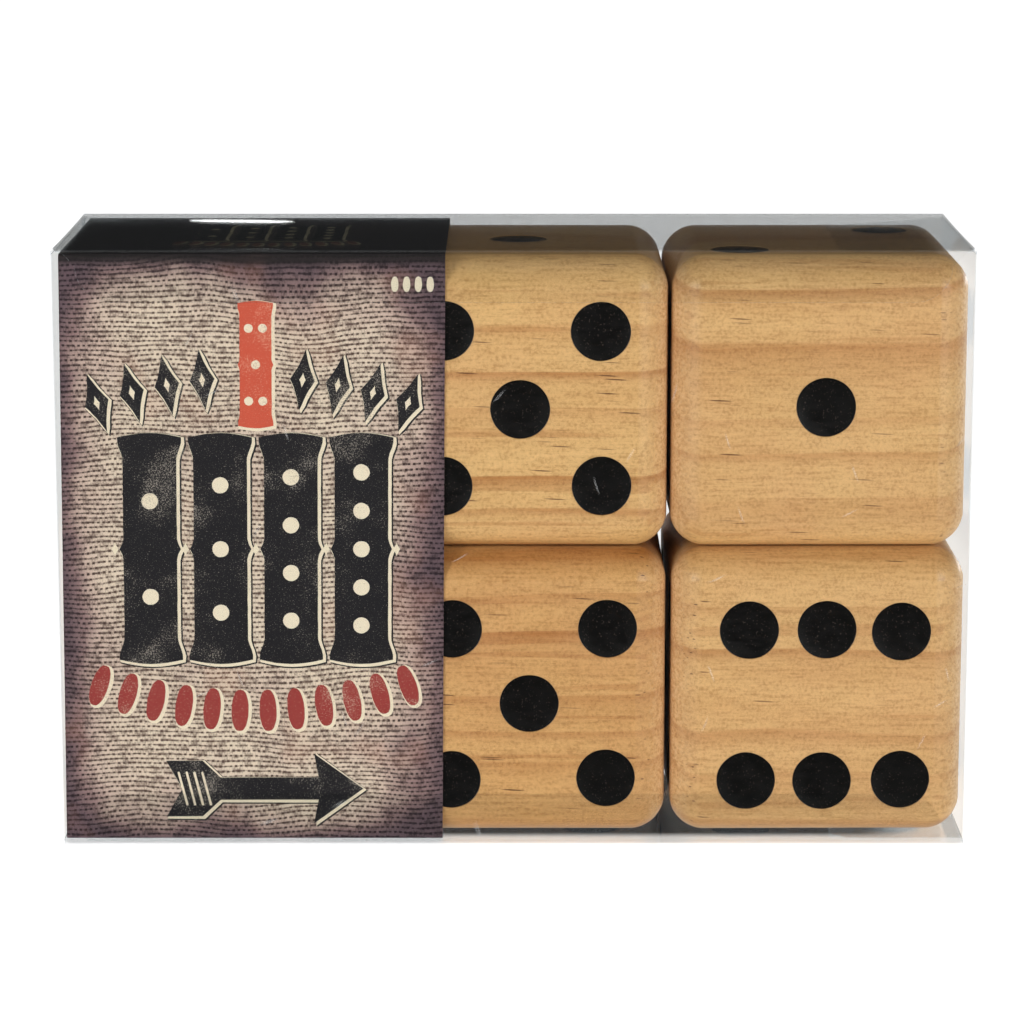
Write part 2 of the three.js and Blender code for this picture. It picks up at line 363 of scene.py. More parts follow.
def film_scratches(s, place):
    """Hairline scratches at three angles, few and faint, over every upright face of the film."""
    x, y, z = s.split(place)
    warp = s.times(s.noise(place, 45, 1.0), 0.006)
    along_wall = s.plus(s.plus(x, y), warp)
    up_wall = s.minus(z, warp)
    total = 0.0
    for angle, offset in ((1.15, 0.3), (1.9, 5.1), (0.45, 9.7)):
        length = s.plus(s.times(along_wall, math.cos(angle)), s.times(up_wall, math.sin(angle)))
        across = s.minus(s.times(up_wall, math.cos(angle)), s.times(along_wall, math.sin(angle)))
        cells = s.join(s.plus(s.times(length, 45), offset), s.times(across, 1100))
        found = s.add("TexVoronoi", {"Vector": cells, "Scale": 1.0}, feature="F1", voronoi_dimensions="2D")
        line = s.smooth(found.outputs["Distance"], 0.04, 0.16, 1.0, 0.0)
        chosen = s.above(s.split(found.outputs["Color"])[0], 0.9955)
        total = s.plus(total, s.times(line, chosen))
    return s.math("MULTIPLY", total, 0.2, clamp=True)


def film_edge():
    """The cut edges of the sheet catch light and look milky."""
    s = new_material("film_edge")
    nicks = s.noise(s.place(), 700, 2.0)
    rough = s.smooth(nicks, 0.3, 0.7, 0.2, 0.45)
    milky = s.principled(Base_Color=srgb(204, 209, 214), Roughness=rough, Specular_IOR_Level=0.6)
    through = s.add("BsdfTransparent", {"Color": (0.97, 0.98, 0.98, 1)}).outputs[0]
    share = s.smooth(nicks, 0.3, 0.7, 0.45, 0.7)
    return s.finish(s.mixed(share, through, milky))


def printed_card(face_low, face_high):
    """Board printed with a photograph-like burlap weave, cream threads with dark dashes between them:
    light in the middle of the front, plum brown towards the edges, and with painted shade, nearly black,
    over the top."""
    s = new_material("printed_card")
    place = s.place()
    x, y, z = s.split(place)
    flow = s.noise(place, 24, 1.0)
    fine_flow = s.noise(place, 120, 2.0)
    bend = s.plus(s.times(s.minus(flow, 0.5), 0.008), s.times(s.minus(fine_flow, 0.5), 0.001))
    # Down the front and the back the rows run along X; over the top and the bottom they follow Y.
    flat = s.above(s.absolute(s.normal()[2]), 0.7)
    up = s.either(flat, z, y)
    row = s.over(s.plus(up, bend), WEAVE_ROW)
    column = s.over(s.plus(x, s.times(bend, 0.3)), WEAVE_COLUMN)
    gap_row = s.floor(s.plus(row, 0.5))
    parity = s.checker(gap_row, column)
    row_round = s.hump(row)
    column_round = s.hump(column)
    # Every second crossing shows a dark dash between two rows. No two dashes are alike.
    crossing = s.join(s.floor(column), gap_row)
    uneven = s.add("TexWhiteNoise", {"Vector": crossing}, noise_dimensions="2D").outputs[0]
    dash = s.times(s.smooth(column_round, 0.0, 0.8, 0.5, 1.1), s.smooth(uneven, 0.0, 1.0, 0.6, 1.3))
    dash = s.times(dash, s.smooth(parity, 0.0, 1.0, 0.5, 1.1))
    dash = s.times(dash, s.smooth(row_round, 0.1, 1.0, 1.0, 0.0))
    faint_line = s.smooth(column_round, 0.0, 0.6, 0.3, 0.0)
    slub = s.noise(place, (380, 620, 620), 3.0, 0.7)
    thread = s.minus(s.minus(1.0, dash), faint_line)
    thread = s.times(thread, s.smooth(slub, 0.3, 0.7, 0.5, 1.3))

    middle = (face_low + face_high) / 2
    half = (face_high - face_low) / 2
    off_x = s.over(s.minus(x, middle.x), half.x)
    off_z = s.over(s.minus(z, middle.z), half.z)
    splotch = s.noise(place, 22, 3.0, 0.6)
    splotch = s.times(s.minus(splotch, 0.5), 1.9)
    edge_x = s.math("POWER", s.absolute(off_x), 4.5)
    edge_z = s.math("POWER", s.absolute(off_z), 9.0)
    away = s.plus(s.plus(edge_x, edge_z), splotch)
    away = s.smooth(away, -0.15, 1.1)
    thread_light = s.shade(away, [(0.0, srgb(230, 212, 188)), (0.45, srgb(206, 180, 164)),
                                  (0.75, srgb(150, 121, 118)), (1.0, srgb(106, 84, 90))])
    gap_dark = s.shade(away, [(0.0, srgb(92, 68, 58)), (0.5, srgb(66, 46, 44)), (1.0, srgb(36, 25, 30))])
    colour = s.blend(s.smooth(thread, 0.1, 1.0), gap_dark, thread_light)
    rust = s.smooth(s.noise(place, 48, 2.0), 0.55, 0.7, 0, 0.18)
    colour = s.blend(rust, colour, srgb(176, 118, 92))
    # Painted shade: the colour darkens towards the top crease and goes nearly black over the top, which
    # faces away from the front lights.
    painted_top_shade = s.smooth(s.plus(z, s.times(splotch, 0.002)),
                     face_high.z - 3.5 * MM, face_high.z - 0.5 * MM, 0, 0.9)
    colour = s.blend(painted_top_shade, colour, srgb(34, 29, 28))
    normal = s.bump(thread, 0.12, 0.00008)
    return s.finish_principled(Base_Color=colour, Roughness=0.42, Normal=normal,
                               Specular_IOR_Level=0.4)


def bare_board():
    """The unprinted inside and cut edges of the sleeve: grey board with short fibres."""
    s = new_material("bare_board")
    place = s.place()
    fibres = s.noise(place, (700, 1500, 1500), 3.0, 0.6)
    flecks = s.noise(place, 1100, 1.0)
    colour = s.shade(fibres, [(0.3, srgb(150, 143, 132)), (0.7, srgb(190, 183, 171))])
    colour = s.blend(s.smooth(flecks, 0.62, 0.7, 0, 0.5), colour, srgb(112, 98, 84))
    return s.finish_principled(Base_Color=colour, Roughness=0.85, Normal=s.bump(fibres, 0.3, 0.0001))


def ink(name, body, worn, wear):
    """Letterpress ink over the weave print: in patches, fine specks of it have worn away."""
    s = new_material(name)
    place = s.place()
    patches = s.smooth(s.noise(place, 75, 3.0, 0.6), 0.46, 0.76)
    specks = s.noise(place, 2300, 2.0, 0.7)
    worn_away = s.smooth(s.plus(specks, s.times(patches, 0.16)), 0.60, 0.73, 0, wear)
    colour = s.blend(worn_away, body, worn)
    return s.finish_principled(Base_Color=colour, Roughness=0.45, Specular_IOR_Level=0.4,
                               Normal=s.bump(specks, 0.1, 0.00005))


def burlap():
    """Coarse jute: a plain weave of thick, uneven threads that follows the cloth's own coordinates, which
    count threads, with painted shade in the holes between them and along the threads' edges."""
    s = new_material("burlap")
    place = s.place()
    cloth = s.add("UVMap", {}, uv_map="threads").outputs[0]
    drift = s.vector("MULTIPLY", s.vector("SUBTRACT", s.add("TexNoise", {"Vector": cloth, "Scale": 0.15,
                     "Detail": 2.0}).outputs[1], (0.5, 0.5, 0.5)), (1.4, 1.4, 0))
    column, row, _ = s.split(s.vector("ADD", cloth, drift))
    parity = s.checker(row, column)
    row_round = s.hump(row)
    column_round = s.hump(column)
    over = s.times(row_round, s.smooth(column_round, 0, 1, 0.75, 1))
    under = s.times(column_round, s.smooth(row_round, 0, 1, 0.5, 0.85))
    thread = s.either(parity, over, under)
    hairs = s.noise(place, 2400, 3.0, 0.7)
    slub = s.noise(cloth, (0.25, 1.0, 1.0), 2.0)
    tone = s.noise(place, 70, 2.0)
    colour = s.blend(s.smooth(tone, 0.3, 0.7), srgb(196, 163, 114), srgb(170, 136, 90))
    colour = s.blend(s.smooth(slub, 0.4, 0.7, 0, 0.6), colour, srgb(148, 112, 70))
    colour = s.blend(s.smooth(hairs, 0.5, 0.7, 0, 0.6), colour, srgb(224, 200, 156))
    # Painted shade: the holes between the threads and the threads' edges are coloured dark brown.
    colour = s.blend(s.smooth(thread, 0.1, 0.55, 0.9, 0.0), colour, srgb(66, 46, 28))
    relief = s.plus(thread, s.times(hairs, 0.3))
    return s.finish_principled(Base_Color=colour, Roughness=0.9, Normal=s.bump(relief, 0.8, 0.0006),
                               Sheen_Weight=0.3, Sheen_Roughness=0.5, Specular_IOR_Level=0.2)


def cotton_thread():
    s = new_material("cotton_thread")
    place = s.place()
    twist = s.noise(place, (900, 900, 2600), 2.0)
    colour = s.shade(twist, [(0.35, srgb(196, 184, 158)), (0.65, srgb(236, 228, 206))])
    return s.finish_principled(Base_Color=colour, Roughness=0.8, Normal=s.bump(twist, 0.4, 0.0002),
                               Specular_IOR_Level=0.25)


# --- meshes: small helpers ---

def object_from(name, mesh, materials, place=(0, 0, 0)):
    made = bpy.data.objects.new(name, mesh)
    bpy.context.scene.collection.objects.link(made)
    for material in materials:
        made.data.materials.append(material)
    made.location = place
    return made


def finished(name, bm, materials=(), place=(0, 0, 0), smooth_below=35):
    """An object made of bm, shaded smooth apart from edges sharper than smooth_below degrees."""
    bmesh.ops.recalc_face_normals(bm, faces=bm.faces)
    mesh = bpy.data.meshes.new(name)
    bm.to_mesh(mesh)
    bm.free()
    mesh.polygons.foreach_set("use_smooth", [True] * len(mesh.polygons))
    mesh.set_sharp_from_angle(angle=math.radians(smooth_below))
    return object_from(name, mesh, materials, place)


def join_rings(bm, rings):
    """Faces between each ring of points and the next."""
    for a, b in zip(rings, rings[1:]):
        for k in range(len(a)):
            n = (k + 1) % len(a)
            bm.faces.new((a[k], a[n], b[n], b[k]))


def arc(centre, radius, start, end, steps):
    """Points on an arc in a plane, ends included. Angles are in degrees."""
    points = []
    for i in range(steps + 1):
        angle = math.radians(start + (end - start) * i / steps)
        points.append(Vector((centre[0] + radius * math.cos(angle), centre[1] + radius * math.sin(angle))))
    return points


def rounded_path(corners, radius, spacing, closed=False, steps=6):
    """A polyline with rounded corners and points no further apart than spacing."""
    corners = [Vector(c) for c in corners]
    count = len(corners)
    sparse = []
    for i, corner in enumerate(corners):
        if not closed and i in (0, count - 1):
            sparse.append(corner)
            continue
        before = (corners[i - 1] - corner).normalized()
        after = (corners[(i + 1) % count] - corner).normalized()
        half_angle = before.angle(after) / 2
        reach = radius / math.tan(half_angle)
        middle = corner + (before + after).normalized() * (radius / math.sin(half_angle))
        first = corner + before * reach - middle
        last = corner + after * reach - middle
        turn = math.atan2(first.x * last.y - first.y * last.x, first.dot(last))
        for k in range(steps + 1):
            angle = turn * k / steps
            spun = Vector((first.x * math.cos(angle) - first.y * math.sin(angle),
                           first.x * math.sin(angle) + first.y * math.cos(angle)))
            sparse.append(middle + spun)
    if closed:
        sparse.append(sparse[0])
    dense = [sparse[0]]
    for a, b in zip(sparse, sparse[1:]):
        pieces = max(1, math.ceil((b - a).length / spacing))
        for k in range(1, pieces + 1):
            dense.append(a.lerp(b, k / pieces))
    return dense[:-1] if closed else dense


def bent_sheet(name, path, thickness, spans, place, rows, materials, closed=False):
    """A thin closed sheet whose middle follows a 2-D path. spans gives its low and high edge at each
    point, across the path's plane, and place(point, across) turns both into a 3-D point. Materials are
    for the path's left side, its right side and the cut edges, and a fourth for give_last_material."""
    count = len(path)
    bm = bmesh.new()
    sides = []
    for side in (0.5, -0.5):
        grid = []
        for i, point in enumerate(path):
            before = path[i - 1] if (closed or i > 0) else point
            after = path[(i + 1) % count] if (closed or i < count - 1) else point
            along = (after - before).normalized()
            shifted = point + Vector((-along.y, along.x)) * (side * thickness)
            low, high = spans[i]
            heights = [low + (high - low) * j / rows for j in range(rows + 1)]
            grid.append([bm.verts.new(place(shifted, height)) for height in heights])
        sides.append(grid)

    def quad(a, b, c, d, index):
        face = bm.faces.new((a, b, c, d))
        face.material_index = index

    left, right = sides
    steps = range(count if closed else count - 1)
    for i in steps:
        n = (i + 1) % count
        for j in range(rows):
            quad(left[i][j], left[n][j], left[n][j + 1], left[i][j + 1], 0)
            quad(right[i][j], right[i][j + 1], right[n][j + 1], right[n][j], 1)
        quad(left[i][0], right[i][0], right[n][0], left[n][0], 2)
        quad(left[i][rows], left[n][rows], right[n][rows], right[i][rows], 2)
    if not closed:
        for i in (0, count - 1):
            for j in range(rows):
                quad(left[i][j], left[i][j + 1], right[i][j + 1], right[i][j], 2)
    return finished(name, bm, materials)


# --- the clear box ---

def wall_height(point):
    """Low and high edge of the walls at a point of their path: the front wall is a full-height panel,
    and the sides stop at the creases of their flaps."""
    near = FILM + FOLD_RADIUS / 2
    if abs(point.y - BOX_FRONT) < near:
        return front_low.z, front_high.z
    if abs(point.y - BOX_BACK) < near:
        return back_low.z, back_high.z
    return left_low.z, left_high.z


def sway(point, z):
    """How far the sheet has warped inwards, nothing at the creases."""
    across = max(0.0, 1 - (2 * point.x / (BOX_RIGHT - BOX_LEFT)) ** 2)
    height = max(0.0, 1 - (2 * z / BOX_TOP - 1) ** 2)
    uneven = 0.7 + 0.6 * noise.noise(Vector((point.x * 14, point.y * 30, z * 16)))
    return FILM_SWAY * across * height * uneven


def add_clear_box(film, side_film, lid_film, flap_film, edge):
    half = FILM / 2
    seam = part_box("glue_seam")
    seam_x = (seam[0].x + seam[1].x) / 2
    corners = [
        (seam_x, seam[0].y),
        (seam_x, BOX_BACK - half),
        (BOX_RIGHT - half, BOX_BACK - half),
        (BOX_RIGHT - half, BOX_FRONT + half),
        (BOX_LEFT + half, BOX_FRONT + half),
        (BOX_LEFT + half, left_high.y),
    ]
    path = rounded_path(corners, FOLD_RADIUS, 9 * MM)

    def place(point, z):
        inwards = -math.copysign(1, point.y) if abs(point.y) > BOX_BACK - 2 * FILM - FOLD_RADIUS else 0
        return Vector((point.x, point.y + inwards * sway(point, z), z))

    spans = [wall_height(p) for p in path]
    shell = bent_sheet("clear_box_shell", path, FILM, spans, place, 24, [film, film, edge, side_film])
    give_last_material(shell, 0)
    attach(shell, "clear_box")
    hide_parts("front_wall", "right_wall", "back_wall", "left_wall", "glue_seam")
    for name in ("bottom_panel", "bottom_tongue", "bottom_left_flap", "bottom_right_flap"):
        dress(name, film)
    for name in ("left_dust_flap", "right_dust_flap"):
        dress(name, flap_film)
    add_lid(lid_film, flap_film, edge)


def give_last_material(sheet, axis):
    """Gives a bent sheet's last material to both sides of it where they face along an axis."""
    for face in sheet.data.polygons:
        if abs(face.normal[axis]) > 0.9 and face.material_index < 2:
            face.material_index = 3


def dress(node, material):
    """Gives a CAD node a material of its own here."""
    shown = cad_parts[node]
    shown.data.materials.clear()
    shown.data.materials.append(material)


def add_lid(film, tongue_film, edge):
    """The lid and its tuck tongue are one sheet that bends at their crease."""
    lid_low, lid_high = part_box("lid")
    tongue_low, tongue_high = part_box("tuck_tongue")
    half = FILM / 2
    crease_y = (tongue_low.y + tongue_high.y) / 2
    middle_z = (lid_low.z + lid_high.z) / 2
    corners = [(lid_high.y, middle_z), (crease_y, middle_z), (crease_y, tongue_low.z)]
    path = rounded_path(corners, FOLD_RADIUS, 5 * MM)
    tongue_half = tongue_high.x
    free_rows = arc((0, 0), TONGUE_CORNER_RADIUS, 0, 90, 6)
    # More points near the free end, where the corners of the tongue are round.
    path = [p for p in path if p.y > tongue_low.z + TONGUE_CORNER_RADIUS + 0.5 * MM or p.x > crease_y + half]
    path += [Vector((crease_y, tongue_low.z + TONGUE_CORNER_RADIUS - p.y)) for p in free_rows]

    cut_depth = FOLD_RADIUS + 2 * MM

    def half_width(point):
        if point.x > crease_y + cut_depth:
            return lid_high.x
        drop = middle_z - point.y
        if drop < FOLD_RADIUS:
            share = max(0.0, (point.x - crease_y) / cut_depth)
            return lid_high.x - LID_CORNER_CUT * (1 - share) - 2 * MM * drop / FOLD_RADIUS
        above_end = point.y - tongue_low.z
        if above_end < TONGUE_CORNER_RADIUS:
            sunk = TONGUE_CORNER_RADIUS - above_end
            reach = math.sqrt(max(0.0, TONGUE_CORNER_RADIUS ** 2 - sunk ** 2))
            return tongue_half - TONGUE_CORNER_RADIUS + reach
        return tongue_half

    def place(point, x):
        sag = LID_SAG * max(0.0, 1 - (2 * point.x / (BOX_BACK - BOX_FRONT)) ** 2)
        dip = sag * (1 + 0.15 * noise.noise(Vector((x * 13, 0, 3.1))))
        return Vector((x, point.x, point.y - dip))

    spans = [(-half_width(p), half_width(p)) for p in path]
    sheet = bent_sheet("lid_and_tongue", path, FILM, spans, place, 48, [film, film, edge, tongue_film])
    give_last_material(sheet, 1)
    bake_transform(sheet)
    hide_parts("lid", "tuck_tongue")


# --- the printed card sleeve ---

def lean(z):
    return SLEEVE_LEAN * (z - BOX_TOP / 2)


def add_sleeve(printed, board):
    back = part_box("card_back")
    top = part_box("card_top")
    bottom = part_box("card_bottom")
    half = CARD / 2
    corners = [
        (card_low.y + half, bottom[0].z + half),
        (card_low.y + half, top[1].z - half),
        (back[1].y - half, top[1].z - half),
        (back[1].y - half, bottom[0].z + half),
    ]
    path = rounded_path(corners, CARD_FOLD_RADIUS, 6 * MM, closed=True)
    spans = [(card_low.x, card_high.x)] * len(path)

    def place(point, x):
        return Vector((x + lean(point.y), point.x, point.y))

    band = bent_sheet("card_sleeve_band", path, CARD, spans, place, 20, [printed, board, board], closed=True)
    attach(band, "card_sleeve")
    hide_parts("card_front", "card_top", "card_back", "card_bottom")
    dress("card_glue_lap", board)


# --- printed ornaments on the sleeve ---

# Places and sizes of the front's ornaments from the middle of the panel, in millimetres.
BLOCK_SIZE = (19.2, 68.4)
BLOCK_PITCH = 21.2
BLOCK_HEIGHT = 0.6
BLOCK_SPOTS = [(BLOCK_PITCH * k - 31, BLOCK_HEIGHT) for k in range(4)]
BLOCK_PIPS = [2, 3, 4, 5]
BLOCK_PIP_RADIUS = 2.5
BEAD_SIZE = (2.2, 4.2)  # between the blocks
BEAD_SPOTS = [(BLOCK_PITCH * k - 41.6, BLOCK_HEIGHT) for k in range(5)]
LOZENGE_SIZE = (7.4, 18.5)
LOZENGE_HEART = (1.9, 4.6)
LOZENGE_SPOTS = [side * (15 + 10.5 * k) for side in (-1, 1) for k in range(4)]
LOZENGE_ARC = (53.0, -9.0)  # height at the middle, and how much it changes ARC_REACH to each side
ARC_REACH = 50
LEAF_SIZE = (5.2, 13.0)
LEAF_SPOTS = [-46.75 + 8.5 * k for k in range(12)]
LEAF_ARC = (-49.5, 9.0)
TILE_SIZE = (10.6, 37.0)
TILE_SPOT = (1.0, 56.8)
TILE_PIP_RADIUS = 1.35
TILE_PIP_PITCH = (2.1, 11)
ARROW_SIZE = (60.0, 22.0)
ARROW_SPOT = (3.2, -74.0)
FEATHER_SIZE = (0.7, 11, 0.3)  # width, height and corner radius
FEATHER_SPOTS = [(2.4 * k - 21.8, ARROW_SPOT[1]) for k in range(4)]
FEATHER_LEAN = 0.25
CORNER_LEAF_SIZE = (2.2, 4.6)
CORNER_LEAF_SPOTS = [(42.5 + 3.5 * k, 81) for k in range(4)]
SHADOW_GROWTH = 0.75  # the dark line round the black shapes, past the cream outline
SHADOW_SHIFT = (0.75, -0.6)
OUTLINE_GROWTH = 0.5
OUTLINE_SHIFT = (0.5, -0.4)
TOP_SCALE = 0.56  # of the front's blocks and leaves, on the top
TOP_SPOT = (2.5, 5.0)
SQUARE_SIZE = (25, 25, 4)  # the dice on the back: width, height and corner radius
SQUARE_SPOTS = [(-30, 34), (0, 34), (30, 34), (-15, 2), (15, 2)]
SQUARE_PIP_RADIUS = 2.4
SQUARE_PIP_PITCH = 7


def jitter(points, amount=0.09):
    """Slightly rough edges, as letterpress leaves them."""
    rough = []
    for point in points:
        seed = Vector((point.x * 1.7, point.y * 1.7, 0.5))
        rough.append(point + Vector((noise.noise(seed), noise.noise(seed + Vector((9, 4, 2))))) * amount)
    return rough


def spindle(width, height, flare=0.16, knob=0.12):
    """A tall ornamental block with flared ends, a slight waist and a pointed knob at half its height."""
    steps = 44
    side = []
    for i in range(steps + 1):
        t = 2 * i / steps - 1
        end = min(1.0, max(0.0, (abs(t) - 0.80) / 0.17))
        bulge = max(0.0, 1 - abs(t) / 0.07)
        half = width / 2 * (1 - flare + flare * end * end * (3 - 2 * end) + knob * bulge)
        side.append(Vector((half, t * height / 2)))
    arch = []
    for k in range(1, 8):
        rise = 0.02 * height * math.sin(math.pi * k / 8)
        arch.append(Vector((width / 2 * (1 - k / 4), height / 2 + rise)))
    right_up = side + arch
    left_down = [Vector((-p.x, -p.y)) for p in right_up]
    return right_up + left_down


def leaf(width, height):
    """A plump leaf."""
    points = []
    for k in range(24):
        angle = 2 * math.pi * k / 24
        across = math.copysign(abs(math.cos(angle)) ** 0.8, math.cos(angle))
        points.append(Vector((across * width / 2, math.sin(angle) * height / 2)))
    return points


def disc(radius, centre=(0, 0), sides=20):
    return arc(centre, radius, 0, 360 - 360 / sides, sides - 1)


def lozenge(width, height):
    """A tall diamond with slightly hollow sides."""
    points = []
    corners = [(width / 2, 0), (0, height / 2), (-width / 2, 0), (0, -height / 2)]
    for start, end in zip(corners, corners[1:] + corners[:1]):
        for k in range(6):
            point = Vector(start).lerp(Vector(end), k / 6)
            points.append(point * (1 - 0.1 * math.sin(math.pi * k / 6)))
    return points


def rounded_bar(width, height, radius):
    points = []
    corners = [(1, -1, -90), (1, 1, 0), (-1, 1, 90), (-1, -1, 180)]
    for side_x, side_y, start in corners:
        centre = (side_x * (width / 2 - radius), side_y * (height / 2 - radius))
        points += arc(centre, radius, start, start + 90, 5)
    return points


def arrow(width, height):
    """An arrow that points right, with a notched tail."""
    head = height * 0.62
    shaft = height * 0.16
    tail = -width / 2
    upper = [(tail, 0.4 * height), (tail + 0.5 * height, 0.4 * height), (tail + 0.75 * height, shaft),
             (width / 2 - head, shaft), (width / 2 - 1.1 * head, height / 2)]
    lower = [(x, -y) for x, y in reversed(upper)]
    return [Vector(p) for p in [(tail + 0.22 * height, 0), *upper, (width / 2, 0), *lower]]


def grown(points, amount):
    """The outline moved outwards by amount; a negative amount moves it inwards."""
    count = len(points)
    area = sum(points[i - 1].x * points[i].y - points[i].x * points[i - 1].y for i in range(count))
    turn = math.copysign(1, area)
    moved = []
    for i, point in enumerate(points):
        along = (points[(i + 1) % count] - points[i - 1]).normalized()
        moved.append(point + Vector((along.y, -along.x)) * (amount * turn))
    return moved


def moved_to(points, spot, angle=0.0):
    turn = Matrix.Rotation(angle, 2)
    return [turn @ p + Vector(spot) for p in points]


def on_arc(x, shape, curve):
    """The shape at x along a shallow arc, turned to stand square on it."""
    middle, change = curve
    slope = 2 * change * x / ARC_REACH ** 2
    return moved_to(shape, (x, middle + change * (x / ARC_REACH) ** 2), math.atan(slope))


def leaf_row():
    return [on_arc(x, leaf(*LEAF_SIZE), LEAF_ARC) for x in LEAF_SPOTS]


def block_row():
    """The four large blocks: their outlines, and the pips inside them."""
    blocks, pips = [], []
    for spot, count in zip(BLOCK_SPOTS, BLOCK_PIPS):
        blocks.append(moved_to(spindle(*BLOCK_SIZE), spot))
        gap = BLOCK_SIZE[1] * 0.86 / count
        for k in range(count):
            pips.append(disc(BLOCK_PIP_RADIUS, (spot[0], spot[1] + gap * (k - (count - 1) / 2))))
    return blocks, pips


def front_print():
    """Outlines of the front's ornaments, by ink, in millimetres from the middle of the panel."""
    blocks, pips = block_row()
    lozenges = [on_arc(x, lozenge(*LOZENGE_SIZE), LOZENGE_ARC) for x in LOZENGE_SPOTS]
    hearts = [on_arc(x, lozenge(*LOZENGE_HEART), LOZENGE_ARC) for x in LOZENGE_SPOTS]
    beads = [moved_to(lozenge(*BEAD_SIZE), spot) for spot in BEAD_SPOTS]
    tile = moved_to(spindle(*TILE_SIZE, flare=0.1, knob=0.1), TILE_SPOT)
    tile_pips = []
    for column, row in LAYOUTS[5]:
        offset = Vector((column * TILE_PIP_PITCH[0], row * TILE_PIP_PITCH[1]))
        tile_pips.append(disc(TILE_PIP_RADIUS, Vector(TILE_SPOT) + offset))
    pointer = moved_to(arrow(*ARROW_SIZE), ARROW_SPOT)
    feathers = [moved_to(rounded_bar(*FEATHER_SIZE), spot, FEATHER_LEAN) for spot in FEATHER_SPOTS]
    corner_leaves = [moved_to(leaf(*CORNER_LEAF_SIZE), spot) for spot in CORNER_LEAF_SPOTS]
    return {"black": blocks + lozenges + [pointer], "red": leaf_row(), "bright": [tile],
            "over": pips + hearts + beads + tile_pips + feathers + corner_leaves}


def top_print():
    """The top repeats the row of blocks, smaller."""
    blocks, pips = block_row()

    def shrink(shapes):
        return [[p * TOP_SCALE + Vector(TOP_SPOT) for p in shape] for shape in shapes]

    return {"black": shrink(blocks), "red": shrink(leaf_row()), "bright": [], "over": shrink(pips)}


def back_print():
    """The back shows the five dice as plain rounded squares with their pips, over a row of leaves."""
    squares, pips = [], []
    for number, spot in enumerate(SQUARE_SPOTS, start=1):
        squares.append(moved_to(rounded_bar(*SQUARE_SIZE), spot))
        for column, row in LAYOUTS[number]:
            offset = Vector((column, row)) * SQUARE_PIP_PITCH
            pips.append(disc(SQUARE_PIP_RADIUS, Vector(spot) + offset))
    return {"black": squares, "red": leaf_row(), "bright": [], "over": pips}


def add_decal(name, outlines, material, layer, surface):
    """Thin flat shapes on the card. surface(x, y, lift) turns a place on the panel into a 3-D point."""
    bm = bmesh.new()
    low = layer * (DECAL_LIFT + DECAL_THICKNESS) + DECAL_LIFT
    for outline in outlines:
        rough = jitter(outline)
        near = [bm.verts.new(surface(p.x * MM, p.y * MM, low)) for p in rough]
        far = [bm.verts.new(surface(p.x * MM, p.y * MM, low + DECAL_THICKNESS)) for p in rough]
        bm.faces.new(near)
        bm.faces.new(far)
        count = len(rough)
        for i in range(count):
            bm.faces.new((near[i], near[(i + 1) % count], far[(i + 1) % count], far[i]))
    decal = finished(name, bm, [material])
    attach(decal, "card_sleeve")


def add_print(side, shapes, inks, surface):
    """One panel's ornaments in layers: a dark shadow line, cream outlines, the inks, cream details."""
    shadow = [moved_to(grown(shape, SHADOW_GROWTH), SHADOW_SHIFT) for shape in shapes["black"]]
    coloured = shapes["black"] + shapes["red"] + shapes["bright"]
    outlines = [moved_to(grown(shape, OUTLINE_GROWTH), OUTLINE_SHIFT) for shape in coloured]
    layers = [("shadow", shadow, inks["black"], 0), ("outlines", outlines, inks["cream"], 1),
              ("black", shapes["black"], inks["black"], 2), ("red", shapes["red"], inks["red"], 2),
              ("bright", shapes["bright"], inks["bright"], 2), ("details", shapes["over"], inks["cream"], 3)]
    for name, outlines, material, layer in layers:
        if outlines:
            add_decal(f"print_{side}_{name}", outlines, material, layer, surface)


def add_sleeve_print():
    inks = {
        "black": ink("ink_black", srgb(29, 27, 31), srgb(168, 158, 146), 0.75),
        "bright": ink("ink_bright_red", srgb(206, 86, 60), srgb(232, 176, 146), 0.6),
        "red": ink("ink_red", srgb(156, 56, 50), srgb(206, 168, 146), 0.8),
        "cream": ink("ink_cream", srgb(238, 224, 196), srgb(176, 156, 136), 0.7),
    }
    # The top's inks are darker copies of the front's inks: painted shade for the top, which the low front
    # lights hardly reach.
    shaded_top_inks = {
        "black": ink("ink_top_black_shaded", srgb(15, 14, 14), srgb(56, 50, 44), 0.5),
        "bright": inks["bright"],
        "red": ink("ink_top_red_shaded", srgb(122, 80, 64), srgb(60, 48, 44), 0.6),
        "cream": ink("ink_top_cream_shaded", srgb(176, 166, 138), srgb(78, 70, 60), 0.6),
    }
    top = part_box("card_top")[1]
    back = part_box("card_back")[1]
    middle_x = (card_low.x + card_high.x) / 2
    middle_z = BOX_TOP / 2

    def on_front(x, z, lift):
        return Vector((middle_x + x + lean(middle_z + z), card_low.y - lift, middle_z + z))

    def on_back(x, z, lift):
        return Vector((middle_x - x + lean(middle_z + z), back.y + lift, middle_z + z))

    def on_top(x, y, lift):
        return Vector((middle_x + x + lean(top.z), y, top.z + lift))

    add_print("front", front_print(), inks, on_front)
    add_print("top", top_print(), shaded_top_inks, on_top)
    add_print("back", back_print(), inks, on_back)


# --- the dice ---

LAYOUTS = {
    1: [(0, 0)],
    2: [(-1, -1), (1, 1)],
    3: [(-1, -1), (0, 0), (1, 1)],
    4: [(-1, -1), (-1, 1), (1, -1), (1, 1)],
    5: [(-1, -1), (-1, 1), (0, 0), (1, -1), (1, 1)],
    6: [(-1, -1), (0, -1), (1, -1), (-1, 1), (0, 1), (1, 1)],
}

